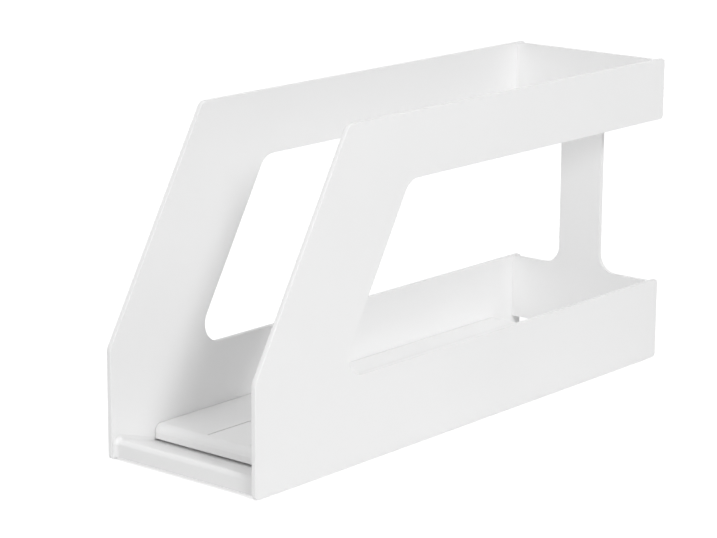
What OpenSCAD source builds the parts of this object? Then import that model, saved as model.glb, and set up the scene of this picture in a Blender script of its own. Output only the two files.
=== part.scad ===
// Magazine file built from flat moulded panels: two side panels, a back panel with a centre post, a base tray
// with a front lip and ramp, and a raised floor plate that lifts out. +Z is up and the open front faces -Y.

/* [Overall] */
// Length of the side panels, front edge to rear edge
file_l = 316; // [280:1:380]
// Width over both side panels
file_w = 92; // [80:0.5:120]
// Height of the side panels
panel_h = 160; // [150:1:200]
// Thickness of the side panels
panel_t = 2.4; // [1.8:0.1:4]
// Clearance on each side of a tongue in its groove
fit_gap = 0.1; // [0.05:0.05:0.2]
// Depth of the grooves and rebates in the side panels
groove_d = 1; // [0.6:0.1:1.2]

/* [Side panels] */
// Height of the upright front edge
front_h = 53; // [40:1:75]
// Length that the sloping front edge covers
slope_run = 63; // [50:1:80]
// Width of the sloping front post, square to the slope
front_post_w = 53.5; // [40:0.5:70]
// Height of the lower band
lower_band_h = 42.4; // [30:0.1:55]
// Height of the upper band
upper_band_h = 31.7; // [22:0.1:40]
// Radius at the two window corners
window_r = 10; // [4:0.5:14]
// Radius where the front edge turns into the slope
brow_r = 8; // [2:0.5:20]
// Radius where the slope meets the top edge
shoulder_r = 5; // [2:0.5:20]
// Radius at the panel's other corners
corner_r = 2; // [0.5:0.1:4]

/* [Back panel] */
// Thickness of the back panel
back_t = 2.4; // [1.8:0.1:4]
// Thickness of the back panel's tongues
tongue_t = 1.2; // [0.8:0.1:1.6]
// Distance that the side panels run past the back panel
back_inset = 5; // [3:0.5:15]
// Height of the open slit under the back panel
back_foot = 8.4; // [5:0.1:20]
// Width of the centre post
post_w = 26; // [18:0.5:34]
// Radius at the head and foot of the centre post
post_r = 10; // [4:0.5:14]

/* [Base tray] */
// Thickness of the tray's floor, lip and ramp
tray_t = 1.9; // [1.4:0.1:2.4]
// Gap between the tray's underside and the side panels' lower edges
tray_lift = 0.9; // [0.1:0.1:2]
// Distance of the lip's face behind the side panels' front edges
lip_inset = 2.5; // [2:0.1:8]
// Height at which the lip's face and ramp would meet if the crest were sharp
lip_h = 10.1; // [7.5:0.1:14]
// Radius of the lip's crest
crest_r = 2.5; // [2.1:0.1:3.5]
// Length of the ramp, from the lip's face to the tray's floor
ramp_run = 24.5; // [16:0.1:30]
// Radius of the fillets between the lip's ends and the side panels
lip_fillet_r = 2; // [1:0.1:3]
// Thickness of such a fillet at its two edges
fillet_land = 0.15; // [0.1:0.05:0.4]
// Thickness of the two rails that carry the floor plate
rail_t = 1.8; // [1.2:0.1:3]
// Distance between the centres of the two rails
rail_pitch = 46; // [36:1:60]

/* [Floor plate] */
// Height of the plate's top face above the side panels' lower edges
plate_top = 10.9; // [8:0.1:16]
// Height of the plate's skirt above the side panels' lower edges
plate_foot = 4.1; // [3.5:0.1:6]
// Distance of the plate's front from the side panels' front edges
plate_inset = 28; // [26:0.5:34]
// Distance between the plate's rear and the back panel
plate_rear_gap = 15; // [5:0.5:40]
// Thickness of the plate's top
plate_t = 2.3; // [1.8:0.1:3]
// Thickness of the plate's skirt
skirt_t = 2.2; // [1.4:0.1:3]
// Radius of the plate's front and rear edges
plate_r = 4.5; // [2:0.1:5.5]
// Radius of the plate's upright corners
plate_corner_r = 0.8; // [0.4:0.1:5]
// Clearance between the rails' ends and the plate's skirt
rail_gap = 0.5; // [0.2:0.1:2]
// Clearance between the plate and the side panels
plate_gap = 0.2; // [0.1:0.05:1]

/* [Grip strip] */
// Width of the strip
strip_w = 25.5; // [16:0.5:36]
// Thickness of the strip
strip_t = 1.2; // [0.6:0.1:1.4]
// Width of the seam along the strip's sides and at its rear end
seam = 0.7; // [0.1:0.05:0.8]

/* [Feet] */
// Diameter of a foot
foot_d = 9; // [6:0.5:14]
// Height of a foot below the side panels
foot_drop = 0.8; // [0.4:0.1:2]
// Depth of the pocket that holds a foot
foot_pocket = 0.7; // [0.3:0.1:1]
// Distance of the feet's centres from the inner faces of the side panels
foot_side = 9; // [8:0.5:16]
// Distance of the feet's centres from the two ends of the tray's flat floor
foot_end = 12; // [8:0.5:30]

/* [Hidden] */
$fn = 64;
// Overshoot of a cut past the face that it opens
cut = 1;
// Excess of a corner's round, by which it crosses the edges that it runs into instead of only touching them
round_over = 1.0002;
white = "whitesmoke";

// Side panels and what stands between them
inner_w = file_w - 2 * panel_t;
window_low = lower_band_h;
window_high = panel_h - upper_band_h;
slope_angle = atan2(panel_h - front_h, slope_run);
// Length coordinate of the front slope, and of the window's parallel front edge, at the height z
function slope_y(z) = (z - front_h) / tan(slope_angle);
function window_y(z) = slope_y(z) + front_post_w / sin(slope_angle);

// Back panel
back_rear = file_l - back_inset;
back_front = back_rear - back_t;
back_w = inner_w + 2 * (groove_d - fit_gap);
tongue_front = back_front + (back_t - tongue_t) / 2;
tongue_rear = tongue_front + tongue_t;

// Base tray
floor_top = tray_lift + tray_t;
ramp_end = lip_inset + ramp_run;
tray_end = back_rear;
tray_w = inner_w + 2 * (groove_d - fit_gap);
lip_w = inner_w - 2 * fit_gap;
ramp_fall = (lip_h - floor_top) / ramp_run;
ramp_angle = atan(ramp_fall);
// Height taken by the tray's thickness, and by the crest's radius, measured plumb through the ramp
ramp_plumb_t = tray_t / cos(ramp_angle);
crest_y = lip_inset + crest_r;
crest_z = lip_h - ramp_fall * crest_r - crest_r / cos(ramp_angle);
// Point where the crest's round runs out into the ramp
crest_out = [crest_y + crest_r * sin(ramp_angle), crest_z + crest_r * cos(ramp_angle)];
ramp_len = (ramp_end - crest_out[0]) / cos(ramp_angle);
// Overlap of the runs of a lip fillet, and the angle by which its crest run stops short at each end
fillet_lap = 2 * fillet_land;
crest_trim_angle = 2;

// Floor plate, strip and feet
plate_rear = back_front - plate_rear_gap;
plate_l = plate_rear - plate_inset;
plate_w = inner_w - 2 * plate_gap;
plate_under = plate_top - plate_t;
strip_front = plate_inset + plate_r;
strip_l = plate_l - 2 * plate_r;
foot_xs = [foot_side - inner_w / 2, inner_w / 2 - foot_side];
foot_ys = [ramp_end + foot_end, tray_end - foot_end];

// Moves the file from its drawing frame, whose origin is on the front edge's lower end, to its own frame
module place() {
  translate([0, -file_l / 2, foot_drop]) children();
}

// Extrudes an outline in the length and height plane along X, from x0 to x1
module along_x(x0, x1) {
  translate([x0, 0, 0]) rotate([90, 0, 90]) linear_extrude(x1 - x0) children();
}

// Extrudes an outline in the width and height plane along Y, from y0 to y1
module along_y(y0, y1) {
  translate([0, y1, 0]) rotate([90, 0, 0]) linear_extrude(y1 - y0) children();
}

function unit(v) = v / norm(v);
// Half of the angle at corner b between the edges to a and c
function half_angle(a, b, c) = acos(unit(a - b) * unit(c - b)) / 2;
// Point on the edge from b to a where a round of radius r at corner b begins
function touch(a, b, c, r) = b + unit(a - b) * r / tan(half_angle(a, b, c));
function round_centre(a, b, c, r) = b + unit(unit(a - b) + unit(c - b)) * r / sin(half_angle(a, b, c));

// What is cut away beyond the round of radius r at corner b
module corner_cut(a, b, c, r) {
  p = touch(a, b, c, r);
  q = touch(c, b, a, r);
  // The cut runs past the outline by half of the chord at each end and as far again beyond the corner
  side = (p - q) / 2;
  out = 2 * b - p - q;
  difference() {
    polygon([p + side, p + side + out, q - side + out, q - side]);
    translate(round_centre(a, b, c, r)) circle(r * round_over);
  }
}

// Convex outline with its own radius at each corner; a radius of 0 leaves the corner sharp
module round_outline(points, radii) {
  n = len(points);
  difference() {
    polygon(points);
    for (i = [0 : n - 1])
      if (radii[i] > 0) corner_cut(points[(i + n - 1) % n], points[i], points[(i + 1) % n], radii[i]);
  }
}

// What is cut away to round the corner of a band's rear end, at the height z, with the band below it (1) or
// above it (-1)
module band_end_cut(z, below) {
  translate([file_l, z]) mirror([0, below > 0 ? 0 : 1])
    difference() {
      translate([-corner_r, -corner_r]) square(corner_r + cut);
      translate([-corner_r, -corner_r]) circle(corner_r);
    }
}

module side_outline() {
  difference() {
    round_outline(
      [[0, 0], [0, front_h], [slope_run, panel_h], [file_l, panel_h], [file_l, 0]],
      [corner_r, brow_r, shoulder_r, corner_r, corner_r]);
    round_outline(
      [[window_y(window_low), window_low], [window_y(window_high), window_high],
        [file_l + cut, window_high], [file_l + cut, window_low]],
      [window_r, window_r, 0, 0]);
    band_end_cut(window_low, 1);
    band_end_cut(window_high, -1);
  }
}

// Side panel whose inner face looks along +X, with the back panel's groove and the tray's rebate
module side_panel() {
  difference() {
    along_x(-file_w / 2, -inner_w / 2) side_outline();
    translate([-inner_w / 2 - groove_d, tongue_front - fit_gap, back_foot])
      cube([groove_d + cut, tongue_t + 2 * fit_gap, panel_h]);
    translate([-inner_w / 2 - groove_d, ramp_end - fit_gap, -cut])
      cube([groove_d + cut, tray_end - ramp_end + 2 * fit_gap, floor_top + cut]);
  }
}

module left_side_panel() {
  color(white) place() side_panel();
}

module right_side_panel() {
  color(white) place() mirror([1, 0, 0]) side_panel();
}

// Opening of the back panel between the centre post and one side, on the side of +X
module back_opening() {
  round_outline(
    [[post_w / 2, window_low], [post_w / 2, window_high],
      [back_w / 2 + cut, window_high], [back_w / 2 + cut, window_low]],
    [post_r, post_r, 0, 0]);
}

// What is cut away in front of and behind the tongue on the side of +X, which leaves the panel's shoulders
module tongue_cut() {
  depth = (back_t - tongue_t) / 2 + cut;
  for (y = [tongue_front - depth, tongue_rear])
    translate([inner_w / 2, y, back_foot - cut]) cube([groove_d + cut, depth, panel_h]);
}

module back_panel() {
  color(white) place()
    difference() {
      along_y(back_front, back_rear)
        difference() {
          translate([-back_w / 2, back_foot]) square([back_w, panel_h - back_foot]);
          back_opening();
          mirror([1, 0]) back_opening();
        }
      tongue_cut();
      mirror([1, 0, 0]) tongue_cut();
    }
}

// Lip and ramp as a folded wall of even thickness, open underneath
module lip_outline() {
  difference() {
    round_outline(
      [[lip_inset, tray_lift], [lip_inset, lip_h], [ramp_end, floor_top], [ramp_end, tray_lift]],
      [0, crest_r, 0, 0]);
    polygon([
      [lip_inset + tray_t, tray_lift - cut],
      [lip_inset + tray_t, lip_h - ramp_fall * tray_t - ramp_plumb_t],
      [lip_inset + (lip_h - ramp_plumb_t - tray_lift + cut) / ramp_fall, tray_lift - cut]
    ]);
  }
}

// Section of the concave fillet against a side panel: x runs away from the panel, y away from the lip
module fillet_section(land) {
  reach = land + lip_fillet_r;
  difference() {
    translate([0, -tray_t / 2]) square([reach, reach + tray_t / 2]);
    translate([reach, reach]) circle(lip_fillet_r);
  }
}

// Fillet of the lip's end at the side of -X: up the face, round the crest and down the ramp. The two straight
// runs have a thinner land and reach into the crest's run, so that no two of their faces coincide. The run
// down the ramp stops just before the ramp's foot.
module lip_end_fillet() {
  translate([-lip_w / 2, 0, 0]) {
    translate([0, lip_inset, tray_lift])
      linear_extrude(crest_z - tray_lift + fillet_lap) mirror([0, 1]) fillet_section(fillet_land / 2);
    translate([0, crest_y, crest_z]) rotate([90, 0, 90]) rotate([0, 0, 90 - ramp_angle + crest_trim_angle])
      rotate_extrude(angle = 90 + ramp_angle - 2 * crest_trim_angle)
        translate([crest_r, 0]) mirror([1, -1]) fillet_section(fillet_land);
    translate([0, crest_out[0], crest_out[1]]) rotate([-90 - ramp_angle, 0, 0]) mirror([0, 1, 0])
      translate([0, 0, -fillet_lap]) linear_extrude(ramp_len) fillet_section(fillet_land / 2);
  }
}

module foot_at_each_corner() {
  for (x = foot_xs, y = foot_ys) translate([x, y, 0]) children();
}

module base_tray() {
  color(white) place() {
    difference() {
      translate([-tray_w / 2, ramp_end, tray_lift]) cube([tray_w, tray_end - ramp_end, tray_t]);
      foot_at_each_corner() translate([0, 0, tray_lift - cut]) cylinder(d = foot_d, h = foot_pocket + cut);
    }
    along_x(-lip_w / 2, lip_w / 2) lip_outline();
    lip_end_fillet();
    mirror([1, 0, 0]) lip_end_fillet();
    for (x = [-rail_pitch / 2, rail_pitch / 2])
      translate([x - rail_t / 2, plate_inset + skirt_t + rail_gap, floor_top])
        cube([rail_t, plate_l - 2 * (skirt_t + rail_gap), plate_under - floor_top]);
  }
}

module plate_plan(inset) {
  x = plate_w / 2 - inset;
  y0 = plate_inset + inset;
  y1 = plate_rear - inset;
  round_outline([[-x, y0], [-x, y1], [x, y1], [x, y0]], [for (i = [1 : 4]) plate_corner_r]);
}

module floor_plate() {
  color(white) place()
    difference() {
      intersection() {
        translate([0, 0, plate_foot]) linear_extrude(plate_top - plate_foot) plate_plan(0);
        along_x(-plate_w / 2, plate_w / 2)
          round_outline(
            [[plate_inset, plate_foot], [plate_inset, plate_top],
              [plate_rear, plate_top], [plate_rear, plate_foot]],
            [0, plate_r, plate_r, 0]);
      }
      translate([0, 0, plate_foot - cut]) linear_extrude(plate_under - plate_foot + cut) plate_plan(skirt_t);
      translate([-strip_w / 2 - seam, strip_front, plate_top - strip_t])
        cube([strip_w + 2 * seam, strip_l, strip_t + cut]);
    }
}

module grip_strip() {
  color("white") place()
    translate([-strip_w / 2, strip_front, plate_top - strip_t]) cube([strip_w, strip_l - seam, strip_t]);
}

module feet() {
  color("dimgray") place()
    foot_at_each_corner() translate([0, 0, -foot_drop])
      cylinder(d = foot_d - 2 * fit_gap, h = foot_drop + tray_lift + foot_pocket);
}

left_side_panel();
right_side_panel();
back_panel();
base_tray();
floor_plate();
grip_strip();
feet();
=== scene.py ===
import math

import bpy
from mathutils import Matrix, Vector

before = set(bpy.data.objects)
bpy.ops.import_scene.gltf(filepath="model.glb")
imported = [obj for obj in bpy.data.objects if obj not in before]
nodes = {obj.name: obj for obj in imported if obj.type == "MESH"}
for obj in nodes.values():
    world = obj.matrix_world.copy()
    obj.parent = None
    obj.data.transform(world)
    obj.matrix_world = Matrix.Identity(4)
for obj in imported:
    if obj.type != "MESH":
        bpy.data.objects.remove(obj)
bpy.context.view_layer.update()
scene = bpy.context.scene

# Camera of the photograph: its image is 717 pixels wide, and the lens is given in those pixels
IMAGE_W = 717
LENS_PX = 2570.69
SENSOR_W = 36
CLIP_START, CLIP_END = 0.05, 20
AZIMUTH = math.radians(39.928)
ELEVATION = math.radians(13.679)
ROLL = math.radians(0.341)
DISTANCE = 1.262435
OFF_RIGHT = -0.022730
OFF_UP = -0.010906
TARGET = Vector((0, 0.002, 0.0808))

# Light: an even white sky, a key light on the right, one in front and one overhead, all large and soft. A box is
# given by its turn from +X towards the open front, its height above the horizon, its edge and its power. Where the
# sky is seen, and not only lights the file, it is plain white.
SKY = 0.34
SEEN_SKY = 1.0
BOX_DISTANCE = 3.2
KEY = (math.radians(20.9), math.radians(28.3), 0.75, 39.2)
FRONT = (math.radians(85), math.radians(20), 1.6, 16.4)
TOP = (math.radians(90), math.radians(85), 2.4, 25.4)

# Floor: a pale matte square that glows where it is seen, so that it shows white and keeps the file's shadow
FLOOR_HALF = 6.0
FLOOR_TONE = 0.8
FLOOR_GLOW = 0.65

# Plastic: a wide cloud and a fine grain of noise, whose usual reach is stretched onto colour and roughness
PLASTIC_IOR = 1.49
CLOUD = {"Scale": 14.0, "Detail": 3.0, "Roughness": 0.5}
GRAIN = {"Detail": 2.0, "Roughness": 0.6}
GRAIN_DEPTH = 0.0001
NOISE_LOW, NOISE_HIGH = 0.3, 0.7
TONE_SPREAD = 0.008
GLOSS_SPREAD = 0.04

# Edges: what counts as one point, as flat and as sharp, and how far each piece's sharp edges are rounded. The tray
# and the plate have their rounds in the solids, so a hairline only parts the shading at what is left sharp.
SAME_POINT = 1e-6
FLAT = math.radians(0.05)
SHARP = math.radians(32)
EDGE_SEGMENTS = 3
PANEL_EDGE = 0.0002
BACK_EDGE = 0.0001
STRIP_EDGE = 0.0001
FOOT_EDGE = 0.0002
HAIRLINE = 0.00001


def make_camera():
    back = Vector((math.sin(AZIMUTH) * math.cos(ELEVATION), -math.cos(AZIMUTH) * math.cos(ELEVATION),
                   math.sin(ELEVATION)))
    right = Vector((math.cos(AZIMUTH), math.sin(AZIMUTH), 0))
    up = back.cross(right)
    turned_right = right * math.cos(ROLL) + up * math.sin(ROLL)
    turned_up = up * math.cos(ROLL) - right * math.sin(ROLL)
    eye = TARGET + back * DISTANCE + turned_right * OFF_RIGHT + turned_up * OFF_UP
    data = bpy.data.cameras.new("camera")
    data.sensor_fit = "HORIZONTAL"
    data.sensor_width = SENSOR_W
    data.lens = LENS_PX / IMAGE_W * SENSOR_W
    data.clip_start, data.clip_end = CLIP_START, CLIP_END
    camera = bpy.data.objects.new("camera", data)
    camera.matrix_world = Matrix((
        (turned_right.x, turned_up.x, back.x, eye.x),
        (turned_right.y, turned_up.y, back.y, eye.y),
        (turned_right.z, turned_up.z, back.z, eye.z),
        (0, 0, 0, 1),
    ))
    scene.collection.objects.link(camera)
    scene.camera = camera


def add_node(tree, kind, **values):
    """Adds a shader node and sets its sockets and properties by name."""
    made = tree.nodes.new(kind)
    for key, value in values.items():
        if key in made.inputs:
            made.inputs[key].default_value = value
        else:
            setattr(made, key, value)
    return made


def stretch(tree, noise, low, high):
    """Maps the noise's usual reach onto the range from low to high."""
    reach = add_node(tree, "ShaderNodeMapRange", **{
        "From Min": NOISE_LOW, "From Max": NOISE_HIGH, "To Min": low, "To Max": high})
    tree.links.new(noise.outputs["Fac"], reach.inputs["Value"])
    return reach.outputs["Result"]


def plastic(name, tone, roughness, grain, bump):
    """Matte moulded plastic: a fine eroded grain in bump and roughness, and a faint cloud in colour."""
    material = bpy.data.materials.new(name)
    material.use_nodes = True
    tree = material.node_tree
    shader = tree.nodes["Principled BSDF"]
    shader.inputs["IOR"].default_value = PLASTIC_IOR
    place = add_node(tree, "ShaderNodeTexCoord")
    cloud = add_node(tree, "ShaderNodeTexNoise", **CLOUD)
    fine = add_node(tree, "ShaderNodeTexNoise", Scale=grain, **GRAIN)
    for texture in (cloud, fine):
        tree.links.new(place.outputs["Object"], texture.inputs["Vector"])
    shade = stretch(tree, cloud, tone * (1 - TONE_SPREAD), tone * (1 + TONE_SPREAD))
    tree.links.new(shade, shader.inputs["Base Color"])
    gloss = stretch(tree, fine, roughness - GLOSS_SPREAD, roughness + GLOSS_SPREAD)
    tree.links.new(gloss, shader.inputs["Roughness"])
    relief = add_node(tree, "ShaderNodeBump", Strength=bump, Distance=GRAIN_DEPTH)
    tree.links.new(fine.outputs["Fac"], relief.inputs["Height"])
    tree.links.new(relief.outputs["Normal"], shader.inputs["Normal"])
    return material


def dress(name, material, edge):
    """Gives a piece its material and rounds its sharp edges. Flat faces are merged first, because thin triangles
    would hold the rounding back."""
    piece = nodes[name]
    piece.data.materials.clear()
    piece.data.materials.append(material)
    weld = piece.modifiers.new("weld", "WELD")
    weld.merge_threshold = SAME_POINT
    flat = piece.modifiers.new("flat", "DECIMATE")
    flat.decimate_type = "DISSOLVE"
    flat.angle_limit = FLAT
    bevel = piece.modifiers.new("edges", "BEVEL")
    bevel.width = edge
    bevel.segments = EDGE_SEGMENTS
    bevel.limit_method = "ANGLE"
    bevel.angle_limit = SHARP
    bevel.harden_normals = True
    bevel.use_clamp_overlap = True


def seen_ray(tree):
    """1 for the camera's own rays and for those that it follows through gloss or glass, 0 for the light's rays."""
    path = add_node(tree, "ShaderNodeLightPath")
    gloss = add_node(tree, "ShaderNodeMath", operation="MAXIMUM")
    glass = add_node(tree, "ShaderNodeMath", operation="MAXIMUM")
    tree.links.new(path.outputs["Is Camera Ray"], gloss.inputs[0])
    tree.links.new(path.outputs["Is Glossy Ray"], gloss.inputs[1])
    tree.links.new(gloss.outputs[0], glass.inputs[0])
    tree.links.new(path.outputs["Is Transmission Ray"], glass.inputs[1])
    return glass.outputs[0]


def make_stage():
    mesh = bpy.data.meshes.new("floor")
    corners = [(-1, -1), (1, -1), (1, 1), (-1, 1)]
    mesh.from_pydata([(x * FLOOR_HALF, y * FLOOR_HALF, 0) for x, y in corners], [], [(0, 1, 2, 3)])
    floor = bpy.data.objects.new("floor", mesh)
    scene.collection.objects.link(floor)
    material = bpy.data.materials.new("floor")
    material.use_nodes = True
    tree = material.node_tree
    shader = tree.nodes["Principled BSDF"]
    shader.inputs["Base Color"].default_value = (FLOOR_TONE, FLOOR_TONE, FLOOR_TONE, 1)
    shader.inputs["Roughness"].default_value = 1.0
    shader.inputs["Specular IOR Level"].default_value = 0.0
    shader.inputs["Emission Color"].default_value = (1, 1, 1, 1)
    glow = add_node(tree, "ShaderNodeMath", operation="MULTIPLY")
    glow.inputs[1].default_value = FLOOR_GLOW
    tree.links.new(seen_ray(tree), glow.inputs[0])
    tree.links.new(glow.outputs[0], shader.inputs["Emission Strength"])
    mesh.materials.append(material)


def soft_box(name, turn, height, edge, power):
    data = bpy.data.lights.new(name, "AREA")
    data.size = edge
    data.energy = power
    towards = Vector((math.cos(turn) * math.cos(height), -math.sin(turn) * math.cos(height), math.sin(height)))
    box = bpy.data.objects.new(name, data)
    box.location = TARGET + towards * BOX_DISTANCE
    box.rotation_euler = towards.to_track_quat("Z", "Y").to_euler()
    scene.collection.objects.link(box)


def make_light():
    world = bpy.data.worlds.new("studio")
    scene.world = world
    world.use_nodes = True
    tree = world.node_tree
    background = tree.nodes["Background"]
    background.inputs["Color"].default_value = (1, 1, 1, 1)
    level = add_node(tree, "ShaderNodeMapRange", **{"To Min": SKY, "To Max": SEEN_SKY})
    tree.links.new(seen_ray(tree), level.inputs["Value"])
    tree.links.new(level.outputs["Result"], background.inputs["Strength"])
    soft_box("key", *KEY)
    soft_box("front", *FRONT)
    soft_box("top", *TOP)


make_camera()
# Painted shade: the tray and the plate are set darker than the panels' white (0.89 and 0.885 against 0.94), so
# that their faces low inside the file stay as dark as the shade there under the overhead light
PANEL = plastic("panel_plastic", tone=0.94, roughness=0.36, grain=2600.0, bump=0.25)
TRAY = plastic("tray_plastic", tone=0.89, roughness=0.36, grain=2600.0, bump=0.25)
PLATE = plastic("plate_plastic", tone=0.885, roughness=0.5, grain=2600.0, bump=0.25)
STRIP = plastic("strip_rubber", tone=0.90, roughness=0.7, grain=1800.0, bump=0.4)
FEET = plastic("feet_rubber", tone=0.03, roughness=0.8, grain=1800.0, bump=0.4)
dress("left_side_panel", PANEL, PANEL_EDGE)
dress("right_side_panel", PANEL, PANEL_EDGE)
dress("back_panel", PANEL, BACK_EDGE)
dress("base_tray", TRAY, HAIRLINE)
dress("floor_plate", PLATE, HAIRLINE)
dress("grip_strip", STRIP, STRIP_EDGE)
dress("feet", FEET, FOOT_EDGE)
make_stage()
make_light()

scene.view_settings.view_transform = "Standard"
